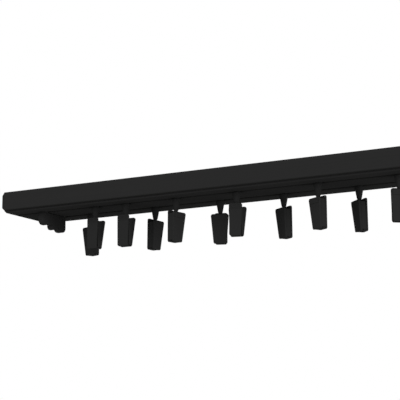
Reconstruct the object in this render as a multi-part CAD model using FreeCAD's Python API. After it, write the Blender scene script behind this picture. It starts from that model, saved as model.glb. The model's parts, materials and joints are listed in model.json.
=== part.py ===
import FreeCAD, Part
import math
import os

from FreeCAD import Vector

# Double ceiling curtain track, seen as it hangs: +Z is up and the ceiling face is Z = 0.
# X runs along the rail, the fascia faces -Y, and the origin is the middle of the ceiling face.

# Rail, in millimetres
TRACK_LENGTH = 442.0
RAIL_DEPTH = 65.0
RAIL_HEIGHT = 18.0
TOP_WEB = 2.0
FASCIA_WALL = 1.8
REAR_WALL = 1.8
FLOOR_WALL = 1.8
CHANNEL_WALL = 1.5
FASCIA_RAISE = 2.0
LEDGE_DEPTH = 3.4
FRONT_ROUND = 1.2
EDGE_ROUND = 0.8
SLOT_SPACING = 27.0
CHANNEL_WIDTH = 13.0
SLOT_WIDTH = 4.6
SLOT_CHAMFER = 0.5

# Ceiling screw holes, in the web over both channels
SCREW_HOLE_RADIUS = 2.1
SCREW_HOLE_SPACING = 300.0

# End caps
CAP_THICKNESS = 4.0
CAP_BEVEL = 2.0
PLUG_LENGTH = 9.0
PLUG_CLEARANCE = 0.1

# End stops, clamped across both slots near each end. Each lobe is (place behind the front slot,
# half its width, drop below the rail).
STOP_FROM_END = 31.0
STOP_WIDTH = 5.2
STOP_SEAT_GAP = 0.05
STOP_LOBES = ((0.0, 5.6, 10.8), (11.6, 4.0, 13.6), (22.8, 5.6, 14.4))
STOP_WAIST = 7.5
STOP_FOOT_THICKNESS = 2.6
STOP_FOOT_WIDTH = 12.0
STOP_NECK_WIDTH = 4.2
LIP_CLEARANCE = 0.1
STOP_LOBE_ROUND = 0.8
CLAMP_SCREW_RADIUS = 1.5
CLAMP_SCREW_RECESS = 1.0
CLAMP_SLOT_WIDTH = 0.7
CLAMP_SLOT_DEPTH = 0.9
SCREW_CLEARANCE = 0.05

# Gliders, measured below the rail's underside where a drop is named
WING_LENGTH = 9.0
WING_WIDTH = 12.0
WING_THICKNESS = 2.0
WING_CORNER = 1.8
GUIDE_LENGTH = 8.0
GUIDE_WIDTH = 4.0
GUIDE_HEIGHT = 4.6
GUIDE_CORNER = 0.9
NECK_LENGTH = 6.0
NECK_WIDTH = 3.8
NECK_CORNER = 1.0
COLLAR_RADIUS = 3.7
COLLAR_GAP = 0.4
COLLAR_DROP = 2.2
FUNNEL_TOP_RADIUS = 3.1
FUNNEL_TOP_DROP = 3.8
FUNNEL_RADIUS = 2.0
FUNNEL_DROP = 9.8
PIVOT_RADIUS = 1.0
FOOT_RADIUS = 1.5
FOOT_THICKNESS = 0.8
STEM_SIDES = 16
SWIVEL_CLEARANCE = 0.06

# Clip: an eared jaw plate and a lever plate, hinged below the head and closed on toothed pads
HEAD_DROP = 11.6
LEVER_DROP = 9.8
CLIP_BOTTOM_DROP = 36.4
PLATE_THICKNESS = 1.5
BODY_TOP_WIDTH = 15.0
BODY_BOTTOM_WIDTH = 11.1
BODY_TOP_GAP = 2.7
LEVER_TOP_WIDTH = 11.0
LEVER_BOTTOM_WIDTH = 9.6
LEVER_TOP_GAP = 3.0
CORNER_ROUND = 1.6
CORNER_FLATS = 3
BOTTOM_CORNER = 0.9
HEAD_BAND_HEIGHT = 4.6
HEAD_BAND_RISE = 0.5
BRIDGE_THICKNESS = 1.4
BRIDGE_HALF_WIDTH = 1.75
HINGE_DROP = 16.6
TRUNNION_RADIUS = 0.7
HINGE_CLEARANCE = 0.06
HOOK_INSIDE = 3.8
HOOK_THICKNESS = 1.0
HOOK_HALF_HEIGHT = 1.35
WEB_INSIDE = 2.6
WEB_THICKNESS = 1.0
WEB_HALF_WIDTH = 0.75
BAR_HALF_WIDTH = 0.5
JAW_OFFSET = 1.7
JAW_GAP = 0.3
JAW_PAD_THICKNESS = 1.9
JAW_PAD_HEIGHT = 7.2
JAW_PAD_WIDTH = 8.4
TOOTH_COUNT = 4
TOOTH_DEPTH = 0.6
THUMB_RIB_COUNT = 3
THUMB_RIB_PITCH = 1.5
THUMB_RIB_HEIGHT = 0.35
THUMB_RIB_WIDTH = 0.7

# Closing spring, a strip bent round the lever's bar with a leg against each plate
STRIP_THICKNESS = 0.25
STRIP_WIDTH = 3.6
STRIP_PIN_GAP = 0.12
STRIP_RISE = 1.9
STRIP_SEAT_GAP = 0.1

# Each glider's place, as a share of the rail's length from its left end, and its clip's turn in
# degrees. Near half a turn the lever plate is on the fascia side.
FRONT_SHARES = (0.1971, 0.2663, 0.3785, 0.5075, 0.6724, 0.8271)
FRONT_TURNS = (177.0, 181.0, 78.0, 194.0, -31.0, 38.0)
REAR_SHARES = (0.1466, 0.2955, 0.4396, 0.5738, 0.7253)
REAR_TURNS = (-18.0, 88.0, 20.0, -34.0, -43.0)

# How far a cutting shape runs past what it cuts
SPARE = 1.0

# Worked-out places
HALF_LENGTH = TRACK_LENGTH / 2
FRONT_Y = -RAIL_DEPTH / 2
REAR_Y = RAIL_DEPTH / 2
UNDERSIDE = -RAIL_HEIGHT
LIP_TOP = UNDERSIDE + FLOOR_WALL
FASCIA_BOTTOM = UNDERSIDE + FASCIA_RAISE
LEDGE_Y = FRONT_Y + LEDGE_DEPTH
FRONT_SLOT_Y = -SLOT_SPACING / 2
REAR_SLOT_Y = SLOT_SPACING / 2
SLOT_YS = (FRONT_SLOT_Y, REAR_SLOT_Y)
WING_BOTTOM = LIP_TOP + LIP_CLEARANCE
CLIP_BOTTOM = UNDERSIDE - CLIP_BOTTOM_DROP
HEAD_TOP = UNDERSIDE - HEAD_DROP
LEVER_TOP = UNDERSIDE - LEVER_DROP
HINGE_Z = UNDERSIDE - HINGE_DROP
PAD_TOP = CLIP_BOTTOM + JAW_PAD_HEIGHT


# A closed flat outline in the YZ plane; each corner is (y, z, round)
def rounded_face(corners):
    edges = []
    count = len(corners)
    starts = []
    ends = []
    for i in range(count):
        before = Vector(0, corners[i - 1][0], corners[i - 1][1])
        here = Vector(0, corners[i][0], corners[i][1])
        after = Vector(0, corners[(i + 1) % count][0], corners[(i + 1) % count][1])
        back = (before - here).normalize()
        onward = (after - here).normalize()
        half = back.getAngle(onward) / 2
        cut = corners[i][2] / math.tan(half)
        starts.append(here + back * cut)
        ends.append(here + onward * cut)
        if corners[i][2] > 0:
            middle = (back + onward).normalize()
            reach = corners[i][2] / math.sin(half) - corners[i][2]
            edges.append(Part.Arc(starts[i], here + middle * reach, ends[i]).toShape())
    for i in range(count):
        edges.append(Part.LineSegment(ends[i - 1], starts[i]).toShape())
    return Part.Face(Part.Wire(Part.__sortEdges__(edges)))


# The same outline drawn out along X
def extrude_x(corners, x_low, x_high):
    solid = rounded_face(corners).extrude(Vector(x_high - x_low, 0, 0))
    return solid.translated(Vector(x_low, 0, 0))


def box(x_low, x_high, y_low, y_high, z_low, z_high):
    return Part.makeBox(
        x_high - x_low, y_high - y_low, z_high - z_low, Vector(x_low, y_low, z_low)
    )


def rectangle(y_low, y_high, z_low, z_high):
    return (
        (y_low, z_low, 0),
        (y_high, z_low, 0),
        (y_high, z_high, 0),
        (y_low, z_high, 0),
    )


# A block with its upright corners cut off, centred on X = 0
def pad(length, y_middle, width, z_low, z_high, corner):
    block = box(-length / 2, length / 2, y_middle - width / 2, y_middle + width / 2, z_low, z_high)
    upright = [e for e in block.Edges if e.BoundBox.ZLength > e.BoundBox.XLength + e.BoundBox.YLength]
    return block.makeChamfer(corner, upright)


def fuse(shapes):
    return shapes[0].multiFuse(shapes[1:]).removeSplitter()


def save(name, shape):
    shape.exportStep(os.path.join("parts", name + ".step"))


# The outside of the rail's section, with its raised fascia and the ledge behind it, or the same
# outline drawn in by an inset
def outer_outline(inset):
    return (
        (FRONT_Y + inset, -inset, FRONT_ROUND),
        (FRONT_Y + inset, FASCIA_BOTTOM + inset, EDGE_ROUND),
        (LEDGE_Y + inset, FASCIA_BOTTOM + inset, 0),
        (LEDGE_Y + inset, UNDERSIDE + inset, EDGE_ROUND),
        (REAR_Y - inset, UNDERSIDE + inset, EDGE_ROUND),
        (REAR_Y - inset, -inset, EDGE_ROUND),
    )


# The space inside one C channel, seen along the rail; clearance shrinks it to a plug
def channel_outline(slot_y, clearance):
    half = CHANNEL_WIDTH / 2 - clearance
    return rectangle(slot_y - half, slot_y + half, LIP_TOP + clearance, -TOP_WEB - clearance)


def slot_outline(slot_y):
    half = SLOT_WIDTH / 2
    flare = half + SLOT_CHAMFER
    return (
        (slot_y - flare, UNDERSIDE, 0),
        (slot_y + flare, UNDERSIDE, 0),
        (slot_y + half, UNDERSIDE + SLOT_CHAMFER, 0),
        (slot_y + half, LIP_TOP, 0),
        (slot_y - half, LIP_TOP, 0),
        (slot_y - half, UNDERSIDE + SLOT_CHAMFER, 0),
    )


# The three closed hollows in front of, between and behind the channels
def hollow_outlines(clearance):
    beside = CHANNEL_WIDTH / 2 + CHANNEL_WALL + clearance
    top = -TOP_WEB - clearance
    low = UNDERSIDE + FLOOR_WALL + clearance
    front_low = FASCIA_BOTTOM + FLOOR_WALL + clearance
    front_side = FRONT_Y + FASCIA_WALL + clearance
    rear_side = REAR_Y - REAR_WALL - clearance
    return (
        rectangle(front_side, FRONT_SLOT_Y - beside, front_low, top),
        rectangle(FRONT_SLOT_Y + beside, REAR_SLOT_Y - beside, low, top),
        rectangle(REAR_SLOT_Y + beside, rear_side, low, top),
    )


def rail_profile():
    end = HALF_LENGTH - CAP_THICKNESS
    body = extrude_x(outer_outline(0), -end, end)
    cuts = [extrude_x(outline, -end, end) for outline in hollow_outlines(0)]
    for slot_y in SLOT_YS:
        cuts.append(extrude_x(channel_outline(slot_y, 0), -end, end))
        cuts.append(extrude_x(slot_outline(slot_y), -end, end))
        for x in (-SCREW_HOLE_SPACING / 2, SCREW_HOLE_SPACING / 2):
            foot = Vector(x, slot_y, -TOP_WEB - SPARE)
            cuts.append(Part.makeCylinder(SCREW_HOLE_RADIUS, TOP_WEB + 2 * SPARE, foot))
    return body.cut(cuts)


# A moulded cover with plugs in every hollow; side is -1 at the left end and 1 at the right
def end_cap(side):
    outer = HALF_LENGTH
    inner = HALF_LENGTH - CAP_THICKNESS
    rim = outer - CAP_BEVEL
    wires = [rounded_face(outer_outline(0)).OuterWire, rounded_face(outer_outline(CAP_BEVEL)).OuterWire]
    bevel = Part.makeLoft([
        wires[0].translated(Vector(rim, 0, 0)),
        wires[1].translated(Vector(outer, 0, 0)),
    ], True, True)
    plate = fuse([extrude_x(outer_outline(0), inner, rim), bevel])
    outlines = list(hollow_outlines(PLUG_CLEARANCE))
    outlines += [channel_outline(slot_y, PLUG_CLEARANCE) for slot_y in SLOT_YS]
    plugs = [extrude_x(outline, inner - PLUG_LENGTH, inner) for outline in outlines]
    cap = fuse([plate] + plugs)
    if side < 0:
        cap = cap.mirror(Vector(0, 0, 0), Vector(1, 0, 0))
    return cap


def stop_middle(side):
    return side * (HALF_LENGTH - STOP_FROM_END - STOP_WIDTH / 2)


# The bar under the rail: three rounded lobes joined by waists, as one outline
def stop_bar():
    top = UNDERSIDE - STOP_SEAT_GAP
    x_low = -STOP_WIDTH / 2
    lobes = []
    for behind, half, drop in STOP_LOBES:
        y = FRONT_SLOT_Y + behind
        bottom = UNDERSIDE - drop
        corner = half * STOP_LOBE_ROUND
        outline = (
            (y - half, top, 0),
            (y - half, bottom, corner),
            (y + half, bottom, corner),
            (y + half, top, 0),
        )
        lobes.append(extrude_x(outline, x_low, -x_low))
    first = FRONT_SLOT_Y + STOP_LOBES[0][0]
    last = FRONT_SLOT_Y + STOP_LOBES[-1][0]
    waist = box(x_low, -x_low, first, last, UNDERSIDE - STOP_WAIST, top)
    return fuse(lobes + [waist])


def clamp_y():
    return FRONT_SLOT_Y + STOP_LOBES[1][0]


def clamp_bottom():
    return UNDERSIDE - STOP_LOBES[1][2]


def clamp_cylinder(radius, z_low, z_high):
    return Part.makeCylinder(radius, z_high - z_low, Vector(0, clamp_y(), z_low))


def end_stop(side):
    pieces = [stop_bar()]
    for slot_y in SLOT_YS:
        neck_low = UNDERSIDE - SPARE
        neck = pad(STOP_WIDTH, slot_y, STOP_NECK_WIDTH, neck_low, WING_BOTTOM + SPARE, GUIDE_CORNER)
        foot_top = WING_BOTTOM + STOP_FOOT_THICKNESS
        foot = pad(STOP_WIDTH, slot_y, STOP_FOOT_WIDTH, WING_BOTTOM, foot_top, WING_CORNER)
        pieces += [neck, foot]
    bore = clamp_cylinder(CLAMP_SCREW_RADIUS + SCREW_CLEARANCE, clamp_bottom() - SPARE, UNDERSIDE)
    stop = fuse(pieces).cut(bore)
    return stop.translated(Vector(stop_middle(side), 0, 0))


# The slotted grub screw that clamps a stop, with its tip on the rail's underside
def clamp_screw(side):
    low = clamp_bottom() + CLAMP_SCREW_RECESS
    screw = clamp_cylinder(CLAMP_SCREW_RADIUS, low, UNDERSIDE - STOP_SEAT_GAP)
    slot = box(
        -CLAMP_SCREW_RADIUS, CLAMP_SCREW_RADIUS,
        clamp_y() - CLAMP_SLOT_WIDTH / 2, clamp_y() + CLAMP_SLOT_WIDTH / 2,
        low - SPARE, low + CLAMP_SLOT_DEPTH,
    )
    return screw.cut(slot).translated(Vector(stop_middle(side), 0, 0))


# The corners of one many-sided ring about the swivel axis, at some drop below the rail
def ring(radius, drop):
    step = 2 * math.pi / STEM_SIDES
    angles = [step * i for i in range(STEM_SIDES)]
    return [Vector(radius * math.cos(a), radius * math.sin(a), UNDERSIDE - drop) for a in angles]


# A turned form with flats, skinned over a stack of rings; each ring is (radius, drop)
def turned(stack):
    rings = [ring(radius, drop) for radius, drop in stack]
    faces = [Part.Face(Part.makePolygon(end + end[:1])) for end in (rings[0], rings[-1])]
    for upper, lower in zip(rings, rings[1:]):
        for i in range(STEM_SIDES):
            flat = [upper[i - 1], upper[i], lower[i], lower[i - 1], upper[i - 1]]
            faces.append(Part.Face(Part.makePolygon(flat)))
    return Part.makeSolid(Part.makeShell(faces))


# The lower part of the glider: collar, funnel, pivot and snap foot
def glider_stem():
    pivot_top = HEAD_DROP - SWIVEL_CLEARANCE
    foot_top = HEAD_DROP + BRIDGE_THICKNESS + SWIVEL_CLEARANCE
    stem = turned((
        (COLLAR_RADIUS, COLLAR_GAP),
        (COLLAR_RADIUS, COLLAR_DROP),
        (FUNNEL_TOP_RADIUS, FUNNEL_TOP_DROP),
        (FUNNEL_RADIUS, FUNNEL_DROP),
        (PIVOT_RADIUS, pivot_top),
        (PIVOT_RADIUS, foot_top),
    ))
    foot = turned(((FOOT_RADIUS, foot_top), (FOOT_RADIUS, foot_top + FOOT_THICKNESS)))
    return [stem, foot]


# One glider about its own swivel axis
def glider():
    wing_top = WING_BOTTOM + WING_THICKNESS
    wings = pad(WING_LENGTH, 0, WING_WIDTH, WING_BOTTOM, wing_top, WING_CORNER)
    guide = pad(GUIDE_LENGTH, 0, GUIDE_WIDTH, wing_top, wing_top + GUIDE_HEIGHT, GUIDE_CORNER)
    neck = pad(NECK_LENGTH, 0, NECK_WIDTH, UNDERSIDE - COLLAR_GAP, WING_BOTTOM, NECK_CORNER)
    return fuse([wings, guide, neck] + glider_stem())


# The inner face of the jaw pad on the body's side, with the teeth's tips on it, and how far each
# plate's own inner face lies from the swivel axis at the bottom
PAD_FACE = JAW_OFFSET - JAW_GAP / 2
BODY_BOTTOM_GAP = JAW_PAD_THICKNESS - PAD_FACE
LEVER_BOTTOM_GAP = JAW_PAD_THICKNESS + JAW_OFFSET + JAW_GAP / 2


# How far a plate leans inwards from its own top to the bottom, as a share
def slope(top_gap, bottom_gap, top_drop):
    return (top_gap - bottom_gap) / (CLIP_BOTTOM_DROP - top_drop)


def body_gap(drop):
    return BODY_TOP_GAP - (drop - HEAD_DROP) * slope(BODY_TOP_GAP, BODY_BOTTOM_GAP, HEAD_DROP)


def lever_gap(drop):
    return LEVER_TOP_GAP - (drop - LEVER_DROP) * slope(LEVER_TOP_GAP, LEVER_BOTTOM_GAP, LEVER_DROP)


# The hinge lies midway between the plates' inner faces
HINGE_Y = (lever_gap(HINGE_DROP) - body_gap(HINGE_DROP)) / 2


# One rounded top corner of a plate, cut in short flats; side is -1 or 1
def top_corner(side, width, top):
    points = []
    for i in range(CORNER_FLATS + 1):
        angle = math.pi / 2 * i / CORNER_FLATS
        across = width / 2 - CORNER_ROUND * (1 - math.cos(angle))
        points.append((side * across, top - CORNER_ROUND * (1 - math.sin(angle))))
    return points


# A tapered plate lying on the far side of its inner face, which is Y = 0 before it leans
def plate(top_width, bottom_width, top):
    foot = bottom_width / 2 - BOTTOM_CORNER
    outline = top_corner(1, top_width, top) + top_corner(-1, top_width, top)[::-1] + [
        (-bottom_width / 2, CLIP_BOTTOM + BOTTOM_CORNER),
        (-foot, CLIP_BOTTOM),
        (foot, CLIP_BOTTOM),
        (bottom_width / 2, CLIP_BOTTOM + BOTTOM_CORNER),
    ]
    points = [Vector(x, 0, z) for x, z in outline]
    return Part.Face(Part.makePolygon(points + points[:1])).extrude(Vector(0, PLATE_THICKNESS, 0))


# A low ridge across a plate, with sloped sides; its height stands out along +Y
def ridge(width, z, base, height, thickness):
    points = [
        Vector(0, base, z - thickness / 2),
        Vector(0, base + height, z - thickness / 2 + height / 2),
        Vector(0, base + height, z + thickness / 2 - height / 2),
        Vector(0, base, z + thickness / 2),
    ]
    face = Part.Face(Part.makePolygon(points + [points[0]]))
    return face.extrude(Vector(width, 0, 0)).translated(Vector(-width / 2, 0, 0))


# Leans a plate built upright with its inner face on Y = 0, and sets its foot at the bottom gap
def lean_out(shape, share, bottom_gap):
    shape = shape.copy()
    shape.rotate(Vector(0, 0, CLIP_BOTTOM), Vector(1, 0, 0), -math.degrees(math.atan(share)))
    return shape.translated(Vector(0, bottom_gap, 0))


# A jaw pad from inside its plate to the toothed line where the jaws close; face is the Y of the
# teeth's tips on the body's side, so both pads follow the same teeth one jaw gap apart
def jaw_pad(face, back):
    pitch = JAW_PAD_HEIGHT / TOOTH_COUNT
    line = [(face, CLIP_BOTTOM)]
    for i in range(TOOTH_COUNT):
        line.append((face - TOOTH_DEPTH, CLIP_BOTTOM + pitch * (i + 1 / 2)))
        line.append((face, CLIP_BOTTOM + pitch * (i + 1)))
    outline = [(back, CLIP_BOTTOM)] + line + [(back, PAD_TOP)]
    points = [Vector(-JAW_PAD_WIDTH / 2, y, z) for y, z in outline]
    return Part.Face(Part.makePolygon(points + points[:1])).extrude(Vector(JAW_PAD_WIDTH, 0, 0))


# A hook standing on the inner face, with an open square mouth that the hinge pin snaps into
def hinge_hook(side, root_y):
    x = HOOK_INSIDE if side > 0 else -HOOK_INSIDE - HOOK_THICKNESS
    mouth = TRUNNION_RADIUS + HINGE_CLEARANCE
    tip = HINGE_Y + HOOK_HALF_HEIGHT
    floor = HINGE_Y - mouth
    hook = box(x, x + HOOK_THICKNESS, root_y, tip, HINGE_Z - HOOK_HALF_HEIGHT, HINGE_Z + HOOK_HALF_HEIGHT)
    opening = box(x, x + HOOK_THICKNESS, floor, tip, HINGE_Z - mouth, HINGE_Z + mouth)
    return hook.cut(opening)


# A hinge pin with flats, like the stem
def pin(x_low, x_high):
    points = []
    for i in range(STEM_SIDES):
        angle = 2 * math.pi * i / STEM_SIDES
        up = TRUNNION_RADIUS * math.sin(angle)
        points.append(Vector(x_low, HINGE_Y + TRUNNION_RADIUS * math.cos(angle), HINGE_Z + up))
    return Part.Face(Part.makePolygon(points + points[:1])).extrude(Vector(x_high - x_low, 0, 0))


# The bridge that carries the clip on the glider's pivot, with its front corners cut off
def bridge(root_y):
    low = HEAD_TOP - BRIDGE_THICKNESS
    half = BRIDGE_HALF_WIDTH
    tongue = pad(2 * half, 0, 2 * half, low, HEAD_TOP, half / 2)
    arm = box(-half, half, root_y, 0, low, HEAD_TOP)
    corner = (PIVOT_RADIUS + SWIVEL_CLEARANCE) / math.cos(math.pi / STEM_SIDES)
    bore = turned(((corner, HEAD_DROP), (corner, HEAD_DROP + BRIDGE_THICKNESS)))
    return fuse([tongue, arm]).cut(bore)


# The eared jaw: plate, thicker head band, bridge on the pivot, two hooks and a toothed pad
def clip_body():
    band_width = BODY_TOP_WIDTH - 2 * CORNER_ROUND
    band_z = HEAD_TOP - HEAD_BAND_HEIGHT / 2
    upright = fuse([
        plate(BODY_TOP_WIDTH, BODY_BOTTOM_WIDTH, HEAD_TOP),
        ridge(band_width, band_z, PLATE_THICKNESS, HEAD_BAND_RISE, HEAD_BAND_HEIGHT),
    ])
    share = slope(BODY_TOP_GAP, BODY_BOTTOM_GAP, HEAD_DROP)
    jaw = lean_out(upright, share, BODY_BOTTOM_GAP).mirror(Vector(0, 0, 0), Vector(0, 1, 0))
    mid_plate = PLATE_THICKNESS / 2
    hook_root = -body_gap(HINGE_DROP) - mid_plate
    hooks = [hinge_hook(side, hook_root) for side in (-1, 1)]
    pad = jaw_pad(PAD_FACE, -BODY_BOTTOM_GAP - mid_plate)
    return fuse([jaw, bridge(-BODY_TOP_GAP - mid_plate), pad] + hooks)


# The lever: plate, thumb ribs, a toothed pad, and the two hinge pins with a bar between their webs
def clip_lever():
    upright = [plate(LEVER_TOP_WIDTH, LEVER_BOTTOM_WIDTH, LEVER_TOP)]
    rib_width = LEVER_TOP_WIDTH - 2 * CORNER_ROUND
    for i in range(THUMB_RIB_COUNT):
        z = LEVER_TOP - CORNER_ROUND - i * THUMB_RIB_PITCH
        upright.append(ridge(rib_width, z, PLATE_THICKNESS, THUMB_RIB_HEIGHT, THUMB_RIB_WIDTH))
    share = slope(LEVER_TOP_GAP, LEVER_BOTTOM_GAP, LEVER_DROP)
    mid_plate = PLATE_THICKNESS / 2
    reach = lever_gap(HINGE_DROP) + mid_plate
    web_low = HINGE_Y - WEB_HALF_WIDTH
    low = HINGE_Z - WEB_HALF_WIDTH
    high = HINGE_Z + WEB_HALF_WIDTH
    web_outside = WEB_INSIDE + WEB_THICKNESS
    pin_end = HOOK_INSIDE + HOOK_THICKNESS
    bar = box(
        -WEB_INSIDE, WEB_INSIDE,
        HINGE_Y - BAR_HALF_WIDTH, HINGE_Y + BAR_HALF_WIDTH,
        HINGE_Z - BAR_HALF_WIDTH, HINGE_Z + BAR_HALF_WIDTH,
    )
    return fuse([
        lean_out(fuse(upright), share, LEVER_BOTTOM_GAP),
        jaw_pad(PAD_FACE + JAW_GAP, LEVER_BOTTOM_GAP + mid_plate),
        box(-web_outside, -WEB_INSIDE, web_low, reach, low, high),
        box(WEB_INSIDE, web_outside, web_low, reach, low, high),
        bar,
        pin(-pin_end, -web_outside),
        pin(web_outside, pin_end),
    ])


# The closing spring: a strip folded in a U round the bar, its legs against the plates
def clip_spring():
    tip_drop = HINGE_DROP - STRIP_RISE
    body_tip = STRIP_SEAT_GAP - body_gap(tip_drop)
    lever_tip = lever_gap(tip_drop) - STRIP_SEAT_GAP
    near = TRUNNION_RADIUS + STRIP_PIN_GAP
    far = near + STRIP_THICKNESS

    def half_turn_of(reach, tip_low, tip_high):
        corner = reach * math.tan(math.pi / 8)
        return [
            (tip_low, STRIP_RISE),
            (HINGE_Y - reach, corner),
            (HINGE_Y - reach, -corner),
            (HINGE_Y - corner, -reach),
            (HINGE_Y + corner, -reach),
            (HINGE_Y + reach, -corner),
            (HINGE_Y + reach, corner),
            (tip_high, STRIP_RISE),
        ]

    outside = half_turn_of(far, body_tip, lever_tip)
    inside = half_turn_of(near, body_tip + STRIP_THICKNESS, lever_tip - STRIP_THICKNESS)
    outline = outside + inside[::-1] + outside[:1]
    points = [Vector(-STRIP_WIDTH / 2, y, HINGE_Z + rise) for y, rise in outline]
    return Part.Face(Part.makePolygon(points)).extrude(Vector(STRIP_WIDTH, 0, 0))


def placed(shape, share, slot_y, turn):
    shape = shape.copy()
    shape.rotate(Vector(0, 0, 0), Vector(0, 0, 1), turn)
    return shape.translated(Vector(share * TRACK_LENGTH - HALF_LENGTH, slot_y, 0))


os.makedirs("parts", exist_ok=True)
save("rail_profile", rail_profile())
save("end_cap_left", end_cap(-1))
save("end_cap_right", end_cap(1))
save("end_stop_left", end_stop(-1))
save("end_stop_right", end_stop(1))
save("stop_screws", Part.makeCompound([clamp_screw(-1), clamp_screw(1)]))

glider_shape = glider()
body_shape = clip_body()
lever_shape = clip_lever()
spring_shape = clip_spring()
rows = (
    ("front", FRONT_SLOT_Y, FRONT_SHARES, FRONT_TURNS),
    ("rear", REAR_SLOT_Y, REAR_SHARES, REAR_TURNS),
)
for row_name, slot_y, shares, turns in rows:
    for number, (share, turn) in enumerate(zip(shares, turns), 1):
        label = row_name + "_%s_" + str(number)
        save(label % "glider", placed(glider_shape, share, slot_y, 0))
        save(label % "clip_body", placed(body_shape, share, slot_y, turn))
        save(label % "clip_lever", placed(lever_shape, share, slot_y, turn))
        save(label % "clip_spring", placed(spring_shape, share, slot_y, turn))
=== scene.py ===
import json
import math

import bmesh
import bpy
from bpy.props import FloatProperty, FloatVectorProperty, PointerProperty
from mathutils import Matrix, Vector


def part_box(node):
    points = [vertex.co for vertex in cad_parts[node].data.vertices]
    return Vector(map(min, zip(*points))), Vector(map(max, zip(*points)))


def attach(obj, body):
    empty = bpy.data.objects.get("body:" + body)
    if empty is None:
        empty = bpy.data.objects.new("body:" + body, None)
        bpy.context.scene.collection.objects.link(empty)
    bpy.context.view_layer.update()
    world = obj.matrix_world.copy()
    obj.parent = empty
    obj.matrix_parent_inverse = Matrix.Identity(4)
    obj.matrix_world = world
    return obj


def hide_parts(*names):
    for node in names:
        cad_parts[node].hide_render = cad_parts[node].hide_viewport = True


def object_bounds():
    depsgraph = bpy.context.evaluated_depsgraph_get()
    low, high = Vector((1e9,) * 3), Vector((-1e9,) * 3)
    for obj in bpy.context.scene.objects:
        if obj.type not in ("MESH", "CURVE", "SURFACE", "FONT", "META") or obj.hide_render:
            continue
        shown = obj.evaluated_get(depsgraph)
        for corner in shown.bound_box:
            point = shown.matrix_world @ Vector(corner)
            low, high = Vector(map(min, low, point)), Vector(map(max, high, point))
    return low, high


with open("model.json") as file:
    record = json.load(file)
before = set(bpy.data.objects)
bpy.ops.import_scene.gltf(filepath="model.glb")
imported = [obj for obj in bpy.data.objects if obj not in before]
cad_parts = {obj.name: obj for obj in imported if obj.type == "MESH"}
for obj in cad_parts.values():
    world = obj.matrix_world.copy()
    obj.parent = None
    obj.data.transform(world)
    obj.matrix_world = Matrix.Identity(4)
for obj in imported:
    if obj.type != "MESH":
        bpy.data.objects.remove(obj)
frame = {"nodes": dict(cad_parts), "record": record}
cad_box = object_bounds()

bl_info = {
    "name": "Curtain Track",
    "version": (1, 0, 0),
    "blender": (4, 5, 0),
    "location": "3D View > Sidebar > Curtain Track",
    "description": "Dresses a double ceiling curtain track with clip gliders, and lights it",
    "category": "Object",
}

MM = 0.001
ROWS = ("front", "rear")
ENDS = ("left", "right")

# How near two corners of a mesh are when they are one, and how nearly flat a whole face is
MERGE_GAP = 0.002 * MM
FLAT_ANGLE = math.radians(0.5)

# Rounded corners: which edges are sharp enough, and how much room they need, in widths
CORNER_ANGLE = math.radians(28)
EDGE_LENGTH = 3
FACE_REACH = 2.5
ROUNDING_STEPS = 3
SMOOTH_ANGLE = math.radians(36)
MOST_SIDES = 4

# Side walls of a clip: millimetres behind its pivot and above the ceiling face
WALL_OUTLINE = ((-3.19, -30.8), (2.45, -30.8), (2.89, -34.6), (3.4, -53.2), (-1.06, -53.2))
WALL_INSIDE = 4.85 * MM
WALL_OUTSIDE = 5.5 * MM

# Webs of an end stop: millimetres behind the middle of the rail and above the ceiling face
STOP_WEBS = (
    ((-12.2, -18.5), (-2.6, -18.5), (-2.6, -28.5), (-12.2, -27.3)),
    ((-1.2, -18.5), (8.0, -18.5), (8.0, -31.2), (-1.2, -30.2)),
)
WEB_INSET = 0.25 * MM

# Sloped rim of an end cap: where it starts from the end, and how much further in it is drawn
CAP_RIM = 2.0 * MM
CAP_RIM_DRAWN = 1.3 * MM
RIM_GAP = 0.02 * MM

# The plastics have no mirror part: the white background would brighten them at a grazing angle
PLASTIC = {"metallic": 0.0, "specular": 0.0}
STEEL = {"metallic": 1.0, "specular": 0.5, "ior": 1.5}

# Patterns: how many times longer than wide the lines are, and how coarse they are on steel
DIE_LINE_STRETCH = 400
ROLL_LINE_STRETCH = 10
ROLL_LINE_PITCH = MM / 9
MOTTLE_SIZE = 10 * MM / 9

WHITE = (1, 1, 1, 1)

# Each lamp's property, its degrees to the right of square on, and its metres above the aim point
LAMPS = (
    ("left_lamp", "left_power", -50, 0.65),
    ("front_lamp", "front_power", 30, 0.65),
    ("right_lamp", "right_power", 85, -0.3),
)
LAMP_DISTANCE = 1.8
LAMP_SIZE = 1.2
SENSOR_WIDTH = 36

BODY_OF = {
    node: body for body, nodes in frame["record"]["behaviour"]["bodies"].items() for node in nodes
}
JOINTS = {joint["name"]: joint for joint in frame["record"]["behaviour"]["joints"]}


# Colours are written as the sRGB hex that a picture editor shows
def linear(code):
    channels = [int(code[i:i + 2], 16) / 255 for i in (1, 3, 5)]
    return tuple(c / 12.92 if c <= 0.04045 else ((c + 0.055) / 1.055) ** 2.4 for c in channels)


def colour_property(name, description, code):
    return FloatVectorProperty(
        name=name, description=description, default=linear(code),
        subtype="COLOR", size=3, min=0, max=1,
    )


def length_property(name, description, millimetres, lowest=0):
    return FloatProperty(
        name=name, description=description, default=millimetres * MM,
        unit="LENGTH", precision=5, min=lowest,
    )


def angle_property(name, description, degrees):
    return FloatProperty(
        name=name, description=description, default=math.radians(degrees), subtype="ANGLE",
    )


def power_property(name, description, watts):
    return FloatProperty(name=name, description=description, default=watts, min=0, unit="POWER")


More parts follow.
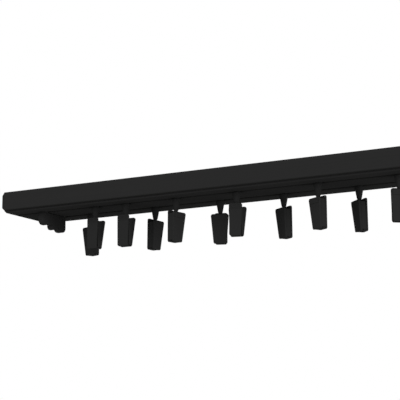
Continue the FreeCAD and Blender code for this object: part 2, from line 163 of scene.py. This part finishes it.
class TrackFinishes(bpy.types.PropertyGroup):
    rail_colour: colour_property("Rail", "Colour of the extruded rail", "#262626")
    moulding_colour: colour_property("Mouldings", "Colour of the end caps and end stops", "#262626")
    glider_colour: colour_property("Gliders", "Colour of the gliders", "#242424")
    clip_colour: colour_property("Clips", "Colour of the clip bodies and levers", "#252525")
    spring_colour: colour_property("Springs", "Colour of the closing springs", "#b4b4b2")
    screw_colour: colour_property("Screws", "Colour of the clamp screws", "#292929")
    die_line_pitch: length_property(
        "Die line pitch", "Distance between the fine lines along the rail", 0.6,
    )
    grain_size: length_property("Grain size", "Size of the fine grain on moulded pieces", 0.5)


class TrackEdges(bpy.types.PropertyGroup):
    clip_edge: length_property("Clip corners", "Rounding of the clips and levers", 0.22)
    glider_edge: length_property("Glider corners", "Rounding of the gliders", 0.2)
    stop_edge: length_property("Stop corners", "Rounding of the end stops", 0.5)
    cap_edge: length_property("Cap corners", "Rounding of the end caps", 0.9)


class TrackStage(bpy.types.PropertyGroup):
    camera_azimuth: angle_property(
        "Camera azimuth", "How far the camera stands to the right of square on", 29.792,
    )
    camera_elevation: angle_property(
        "Camera elevation", "How far the camera looks up at the track", 10.652,
    )
    camera_distance: length_property(
        "Camera distance", "From the aim point to the camera", 1208.67,
    )
    camera_lens: FloatProperty(
        name="Focal length", description="Focal length of the camera, in millimetres",
        default=134.61, unit="CAMERA",
    )
    aim_x: length_property(
        "Aim along the rail", "Aim point from the rail's middle", -20.02, lowest=-1,
    )
    aim_z: length_property(
        "Aim height", "Aim point above the ceiling face", -25.41, lowest=-1,
    )
    floor_drop: length_property("Floor drop", "How far below the track the floor lies", 2350)
    floor_size: length_property("Floor size", "Length of each side of the floor", 12000)
    floor_colour: colour_property("Floor", "Colour of the floor and the room", "#f4f4f3")
    room_light: FloatProperty(
        name="Room light", description="Strength of the even light from all round",
        default=0.65, min=0,
    )
    left_power: power_property("Left lamp", "Power of the soft lamp at the front left", 15.5)
    front_power: power_property("Front lamp", "Power of the soft lamp beside the camera", 14)
    right_power: power_property("Right lamp", "Power of the soft lamp at the right end", 20)


def opaque(colour, factor=1):
    return (colour[0] * factor, colour[1] * factor, colour[2] * factor, 1)


# Adds a node, sets its values and plugs in its inputs
def add_node(tree, kind, settings=(), links=()):
    node = tree.nodes.new(kind)
    for name, value in dict(settings).items():
        if name in node.inputs:
            node.inputs[name].default_value = value
        else:
            setattr(node, name, value)
    for name, source in dict(links).items():
        tree.links.new(source, node.inputs[name])
    return node


# A node tree of its own, emptied, for a new material or world
def empty_tree(owner):
    owner.use_nodes = True
    owner.node_tree.nodes.clear()
    return owner.node_tree


# A surface whose colour, roughness and height follow one pattern from 0 to 1
def patterned(name, colour, pattern, look):
    material = bpy.data.materials.new(name)
    tree = empty_tree(material)
    place = add_node(tree, "ShaderNodeTexCoord")
    height = pattern(tree, place.outputs["Object"])
    tint = add_node(tree, "ShaderNodeValToRGB", links={"Fac": height})
    tint.color_ramp.elements[0].color = opaque(colour, 1 - look["variation"])
    tint.color_ramp.elements[1].color = opaque(colour, 1 + look["variation"])
    rough = add_node(
        tree, "ShaderNodeMapRange",
        {
            "To Min": look["roughness"] - look["rough_spread"],
            "To Max": look["roughness"] + look["rough_spread"],
        },
        {"Value": height},
    )
    bump = add_node(
        tree, "ShaderNodeBump",
        {"Strength": look["bump"], "Distance": look["bump_height"] * MM},
        {"Height": height},
    )
    shader = add_node(
        tree, "ShaderNodeBsdfPrincipled",
        {
            "Metallic": look["metallic"],
            "IOR": look["ior"],
            "Specular IOR Level": look["specular"],
        },
        {
            "Base Color": tint.outputs["Color"],
            "Roughness": rough.outputs["Result"],
            "Normal": bump.outputs["Normal"],
        },
    )
    add_node(tree, "ShaderNodeOutputMaterial", links={"Surface": shader.outputs["BSDF"]})
    return material


# Extruded rigid PVC, matt black: faint die lines run the whole length of the rail
def extruded_pvc(finishes):
    def die_lines(tree, place):
        pitch = 1 / finishes.die_line_pitch
        stretched = add_node(
            tree, "ShaderNodeMapping",
            {"Scale": (pitch / DIE_LINE_STRETCH, pitch, pitch)}, {"Vector": place},
        )
        lines = add_node(
            tree, "ShaderNodeTexNoise", {"Scale": 1.0, "Detail": 3.0, "Roughness": 0.6},
            {"Vector": stretched.outputs["Vector"]},
        )
        return lines.outputs["Fac"]

    return patterned("extruded_pvc", finishes.rail_colour, die_lines, {
        **PLASTIC, "ior": 1.53, "roughness": 0.55, "rough_spread": 0.06,
        "variation": 0.10, "bump": 0.25, "bump_height": 0.05,
    })


# Injection-moulded plastic: an even spark-eroded grain breaks up its soft sheen
def moulded_plastic(name, colour, grain_size, look):
    def grain(tree, place):
        noise = add_node(
            tree, "ShaderNodeTexNoise",
            {"Scale": 1 / grain_size, "Detail": 2.0, "Roughness": 0.5}, {"Vector": place},
        )
        return noise.outputs["Fac"]

    return patterned(name, colour, grain, {**PLASTIC, **look})


# Black ABS, satin, as the caps and stops have
def moulded_abs(finishes):
    return moulded_plastic("moulded_abs", finishes.moulding_colour, finishes.grain_size, {
        "ior": 1.54, "roughness": 0.5, "rough_spread": 0.06,
        "variation": 0.12, "bump": 0.2, "bump_height": 0.06,
    })


# Black acetal, a little smoother and waxier, as sliding parts are
def moulded_acetal(finishes):
    return moulded_plastic("moulded_acetal", finishes.glider_colour, finishes.grain_size, {
        "ior": 1.48, "roughness": 0.42, "rough_spread": 0.04,
        "variation": 0.08, "bump": 0.12, "bump_height": 0.04,
    })


# Black nylon with a fine matt grain, as the clips have
def moulded_nylon(finishes):
    return moulded_plastic("moulded_nylon", finishes.clip_colour, finishes.grain_size, {
        "ior": 1.53, "roughness": 0.52, "rough_spread": 0.07,
        "variation": 0.14, "bump": 0.22, "bump_height": 0.05,
    })


# Stainless spring strip, rolled: fine lines down the strip, drawn coarser than they are
def rolled_steel(finishes):
    def roll_lines(tree, place):
        pitch = 1 / ROLL_LINE_PITCH
        stretched = add_node(
            tree, "ShaderNodeMapping",
            {"Scale": (pitch, pitch, pitch / ROLL_LINE_STRETCH)}, {"Vector": place},
        )
        lines = add_node(
            tree, "ShaderNodeTexNoise", {"Scale": 1.0, "Detail": 2.0},
            {"Vector": stretched.outputs["Vector"]},
        )
        return lines.outputs["Fac"]

    return patterned("rolled_steel", finishes.spring_colour, roll_lines, {
        **STEEL, "roughness": 0.32, "rough_spread": 0.08,
        "variation": 0.1, "bump": 0.1, "bump_height": 0.02,
    })


# Blackened steel: dark, faintly mottled and duller than bare metal
def blackened_steel(finishes):
    def mottle(tree, place):
        noise = add_node(
            tree, "ShaderNodeTexNoise", {"Scale": 1 / MOTTLE_SIZE, "Detail": 4.0},
            {"Vector": place},
        )
        return noise.outputs["Fac"]

    return patterned("blackened_steel", finishes.screw_colour, mottle, {
        **STEEL, "roughness": 0.4, "rough_spread": 0.1,
        "variation": 0.25, "bump": 0.15, "bump_height": 0.03,
    })


# Matt floor paint, pale and even
def floor_paint(stage):
    material = bpy.data.materials.new("floor_paint")
    tree = empty_tree(material)
    shader = add_node(
        tree, "ShaderNodeBsdfPrincipled",
        {"Base Color": opaque(stage.floor_colour), "Roughness": 0.9, "Specular IOR Level": 0.1},
    )
    add_node(tree, "ShaderNodeOutputMaterial", links={"Surface": shader.outputs["BSDF"]})
    return material


def paint(node, material):
    mesh = frame["nodes"][node].data
    mesh.materials.clear()
    mesh.materials.append(material)


# The names of one kind of piece in both rows
def in_rows(kind):
    starts = tuple(row + "_" + kind + "_" for row in ROWS)
    return sorted(name for name in frame["nodes"] if name.startswith(starts))


# A copy of a CAD node's mesh, with the triangles of each flat face joined into one face
def whole_faces(node):
    shape = bmesh.new()
    shape.from_mesh(frame["nodes"][node].data)
    bmesh.ops.remove_doubles(shape, verts=shape.verts, dist=MERGE_GAP)
    bmesh.ops.dissolve_limit(
        shape, angle_limit=FLAT_ANGLE, verts=shape.verts, edges=shape.edges,
    )
    return shape


# A flat plate with this outline in millimetres across and up, between two places along X
def add_plate(shape, outline, low, high):
    corners = [shape.verts.new((low, y * MM, z * MM)) for y, z in outline]
    face = shape.faces.new(corners)
    pulled = bmesh.ops.extrude_face_region(shape, geom=[face])["geom"]
    moved = [each for each in pulled if isinstance(each, bmesh.types.BMVert)]
    bmesh.ops.translate(shape, verts=moved, vec=(high - low, 0, 0))
    return corners + moved


# The two side walls of a clip, which stand on its body and end just short of the lever
def add_side_walls(shape, node):
    clip = node.replace("_body", "")
    pivot = JOINTS[clip + "_swivel"]["pos_m"]
    axis = JOINTS[clip + "_jaw"]["axis"]
    turn = Matrix.Rotation(math.atan2(axis[1], axis[0]), 4, "Z")
    place = Matrix.Translation((pivot[0], pivot[1], 0)) @ turn
    for low, high in ((-WALL_OUTSIDE, -WALL_INSIDE), (WALL_INSIDE, WALL_OUTSIDE)):
        wall = add_plate(shape, WALL_OUTLINE, low, high)
        bmesh.ops.transform(shape, matrix=place, verts=wall)


# The webs between the three feet of an end stop, which make it one block with a stepped foot
def add_stop_webs(shape, node):
    low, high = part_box(node)
    for outline in STOP_WEBS:
        add_plate(shape, outline, low[0] + WEB_INSET, high[0] - WEB_INSET)


# Draws out the sloped rim of an end cap, so that the rail seems to end in a soft corner
def soften_rim(shape, node):
    low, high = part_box(node)
    side = 1 if high[0] > 0 else -1
    end = high[0] if side > 0 else low[0]
    rim = [vert for vert in shape.verts if abs(vert.co.x - end + side * CAP_RIM) < RIM_GAP]
    bmesh.ops.translate(shape, verts=rim, vec=(-side * CAP_RIM_DRAWN, 0, 0))


# How far a face reaches from one of its edges
def reach_from(face, edge):
    start = edge.verts[0].co
    line = (edge.verts[1].co - start).normalized()
    return max((vert.co - start).cross(line).length for vert in face.verts)


# The corners that can take a rounding of this width: sharp, long and with room on both sides
def roundable(shape, width):
    chosen = []
    for edge in shape.edges:
        if len(edge.link_faces) != 2 or edge.calc_length() < EDGE_LENGTH * width:
            continue
        if edge.calc_face_angle(0) > CORNER_ANGLE:
            if min(reach_from(face, edge) for face in edge.link_faces) > FACE_REACH * width:
                chosen.append(edge)
    return chosen


# Merges the specks that rounding leaves where corners meet
def clear_specks(shape):
    bmesh.ops.remove_doubles(shape, verts=shape.verts, dist=MERGE_GAP)
    bmesh.ops.dissolve_degenerate(shape, edges=shape.edges, dist=MERGE_GAP)


# Stands for a CAD node: the same piece with its corners rounded as a mould leaves them
def rounded_piece(node, width, material, reshape=None):
    shape = whole_faces(node)
    if reshape:
        reshape(shape, node)
    bmesh.ops.recalc_face_normals(shape, faces=shape.faces)
    bmesh.ops.bevel(
        shape, geom=roundable(shape, width), offset=width, offset_type="OFFSET",
        segments=ROUNDING_STEPS, profile=0.5, affect="EDGES", clamp_overlap=False, material=-1,
    )
    clear_specks(shape)
    many_sided = [face for face in shape.faces if len(face.verts) > MOST_SIDES]
    bmesh.ops.triangulate(shape, faces=many_sided)
    mesh = bpy.data.meshes.new(node + "_rounded")
    shape.to_mesh(mesh)
    shape.free()
    mesh.shade_smooth()
    mesh.set_sharp_from_angle(angle=SMOOTH_ANGLE)
    mesh.materials.append(material)
    piece = bpy.data.objects.new(node + "_rounded", mesh)
    normals = piece.modifiers.new("flat_faces_stay_flat", "WEIGHTED_NORMAL")
    normals.keep_sharp = True
    bpy.context.scene.collection.objects.link(piece)
    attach(piece, BODY_OF[node])
    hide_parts(node)


class TRACK_OT_rail(bpy.types.Operator):
    """Gives the rail its extruded finish"""
    bl_idname = "track.rail"
    bl_label = "Rail"

    def execute(self, context):
        paint("rail_profile", extruded_pvc(context.scene.track_finishes))
        return {"FINISHED"}


class TRACK_OT_ends(bpy.types.Operator):
    """Rounds the end caps and end stops, and finishes them and the clamp screws"""
    bl_idname = "track.ends"
    bl_label = "End Caps and Stops"

    def execute(self, context):
        finishes = context.scene.track_finishes
        edges = context.scene.track_edges
        plastic = moulded_abs(finishes)
        for end in ENDS:
            rounded_piece("end_cap_" + end, edges.cap_edge, plastic, soften_rim)
            rounded_piece("end_stop_" + end, edges.stop_edge, plastic, add_stop_webs)
        paint("stop_screws", blackened_steel(finishes))
        return {"FINISHED"}


class TRACK_OT_gliders(bpy.types.Operator):
    """Rounds and finishes the gliders"""
    bl_idname = "track.gliders"
    bl_label = "Gliders"

    def execute(self, context):
        plastic = moulded_acetal(context.scene.track_finishes)
        for node in in_rows("glider"):
            rounded_piece(node, context.scene.track_edges.glider_edge, plastic)
        return {"FINISHED"}


class TRACK_OT_clips(bpy.types.Operator):
    """Rounds the clip bodies and levers, closes the bodies' sides, and finishes the clips"""
    bl_idname = "track.clips"
    bl_label = "Clips"

    def execute(self, context):
        finishes = context.scene.track_finishes
        plastic = moulded_nylon(finishes)
        steel = rolled_steel(finishes)
        edge = context.scene.track_edges.clip_edge
        for node in in_rows("clip_body"):
            rounded_piece(node, edge, plastic, add_side_walls)
        for node in in_rows("clip_lever"):
            rounded_piece(node, edge, plastic)
        for node in in_rows("clip_spring"):
            paint(node, steel)
        return {"FINISHED"}


# The camera, which faces the aim point from below and from the right
def aim_camera(stage, aim):
    lens = bpy.data.cameras.new("photo_camera")
    lens.sensor_width = SENSOR_WIDTH
    lens.lens = stage.camera_lens
    camera = bpy.data.objects.new("photo_camera", lens)
    level = math.cos(stage.camera_elevation)
    look = Vector((
        -math.sin(stage.camera_azimuth) * level,
        math.cos(stage.camera_azimuth) * level,
        math.sin(stage.camera_elevation),
    ))
    camera.location = aim - look * stage.camera_distance
    camera.rotation_euler = look.to_track_quat("-Z", "Y").to_euler()
    bpy.context.scene.collection.objects.link(camera)
    bpy.context.scene.camera = camera


# A wide soft lamp that faces the aim point
def soft_lamp(name, azimuth, height, aim, power):
    turn = math.radians(azimuth)
    place = Vector((math.sin(turn), -math.cos(turn), 0)) * LAMP_DISTANCE
    place = aim + place + Vector((0, 0, height))
    lamp = bpy.data.lights.new(name, "AREA")
    lamp.shape = "SQUARE"
    lamp.size = LAMP_SIZE
    lamp.energy = power
    holder = bpy.data.objects.new(name, lamp)
    holder.location = place
    holder.rotation_euler = (aim - place).to_track_quat("-Z", "Y").to_euler()
    bpy.context.scene.collection.objects.link(holder)


# 1 for the rays that show the background: seen straight, mirrored or through glass
def background_rays(tree):
    path = add_node(tree, "ShaderNodeLightPath")
    seen = add_node(
        tree, "ShaderNodeMath", {"operation": "MAXIMUM"},
        {0: path.outputs["Is Camera Ray"], 1: path.outputs["Is Glossy Ray"]},
    )
    both = add_node(
        tree, "ShaderNodeMath", {"operation": "MAXIMUM"},
        {0: seen.outputs["Value"], 1: path.outputs["Is Transmission Ray"]},
    )
    return both.outputs["Value"]


# Even light from all round, in front of a white background
def light_room(stage):
    world = bpy.data.worlds.new("studio_room")
    bpy.context.scene.world = world
    tree = empty_tree(world)
    ambient = add_node(
        tree, "ShaderNodeBackground",
        {"Color": opaque(stage.floor_colour), "Strength": stage.room_light},
    )
    shown = add_node(tree, "ShaderNodeBackground", {"Color": WHITE, "Strength": 1.0})
    mix = add_node(
        tree, "ShaderNodeMixShader", links={
            0: background_rays(tree),
            1: ambient.outputs["Background"],
            2: shown.outputs["Background"],
        },
    )
    add_node(tree, "ShaderNodeOutputWorld", links={"Surface": mix.outputs["Shader"]})


def lay_floor(stage):
    shape = bmesh.new()
    bmesh.ops.create_grid(shape, x_segments=1, y_segments=1, size=stage.floor_size / 2)
    level = cad_box[0][2] - stage.floor_drop
    bmesh.ops.translate(shape, verts=shape.verts, vec=(0, 0, level))
    mesh = bpy.data.meshes.new("floor")
    shape.to_mesh(mesh)
    shape.free()
    mesh.materials.append(floor_paint(stage))
    floor = bpy.data.objects.new("floor", mesh)
    bpy.context.scene.collection.objects.link(floor)


class TRACK_OT_stage(bpy.types.Operator):
    """Sets up the camera, the floor and the soft studio light"""
    bl_idname = "track.stage"
    bl_label = "Camera, Floor and Light"

    def execute(self, context):
        stage = context.scene.track_stage
        context.scene.view_settings.view_transform = "Standard"
        fascia_y = cad_box[0][1]
        aim = Vector((stage.aim_x, fascia_y, stage.aim_z))
        aim_camera(stage, aim)
        light_room(stage)
        lay_floor(stage)
        for name, power, azimuth, height in LAMPS:
            soft_lamp(name, azimuth, height, aim, getattr(stage, power))
        return {"FINISHED"}


class TRACK_PT_sidebar(bpy.types.Panel):
    """Lists the track's finishes, its edges, its stage and the steps that dress it"""
    bl_idname = "TRACK_PT_sidebar"
    bl_label = "Curtain Track"
    bl_space_type = "VIEW_3D"
    bl_region_type = "UI"
    bl_category = "Curtain Track"

    def draw(self, context):
        scene = context.scene
        for group in (scene.track_finishes, scene.track_edges, scene.track_stage):
            column = self.layout.column(align=True)
            for name in group.__annotations__:
                column.prop(group, name)
        for operator in OPERATORS:
            self.layout.operator(operator.bl_idname)


OPERATORS = (TRACK_OT_rail, TRACK_OT_ends, TRACK_OT_gliders, TRACK_OT_clips, TRACK_OT_stage)
CLASSES = (TrackFinishes, TrackEdges, TrackStage) + OPERATORS + (TRACK_PT_sidebar,)


def register():
    for each in CLASSES:
        bpy.utils.register_class(each)
    bpy.types.Scene.track_finishes = PointerProperty(type=TrackFinishes)
    bpy.types.Scene.track_edges = PointerProperty(type=TrackEdges)
    bpy.types.Scene.track_stage = PointerProperty(type=TrackStage)


def unregister():
    del bpy.types.Scene.track_stage
    del bpy.types.Scene.track_edges
    del bpy.types.Scene.track_finishes
    for each in reversed(CLASSES):
        bpy.utils.unregister_class(each)


def main():
    register()
    bpy.ops.track.rail()
    bpy.ops.track.ends()
    bpy.ops.track.gliders()
    bpy.ops.track.clips()
    bpy.ops.track.stage()


if __name__ == "__main__":
    main()
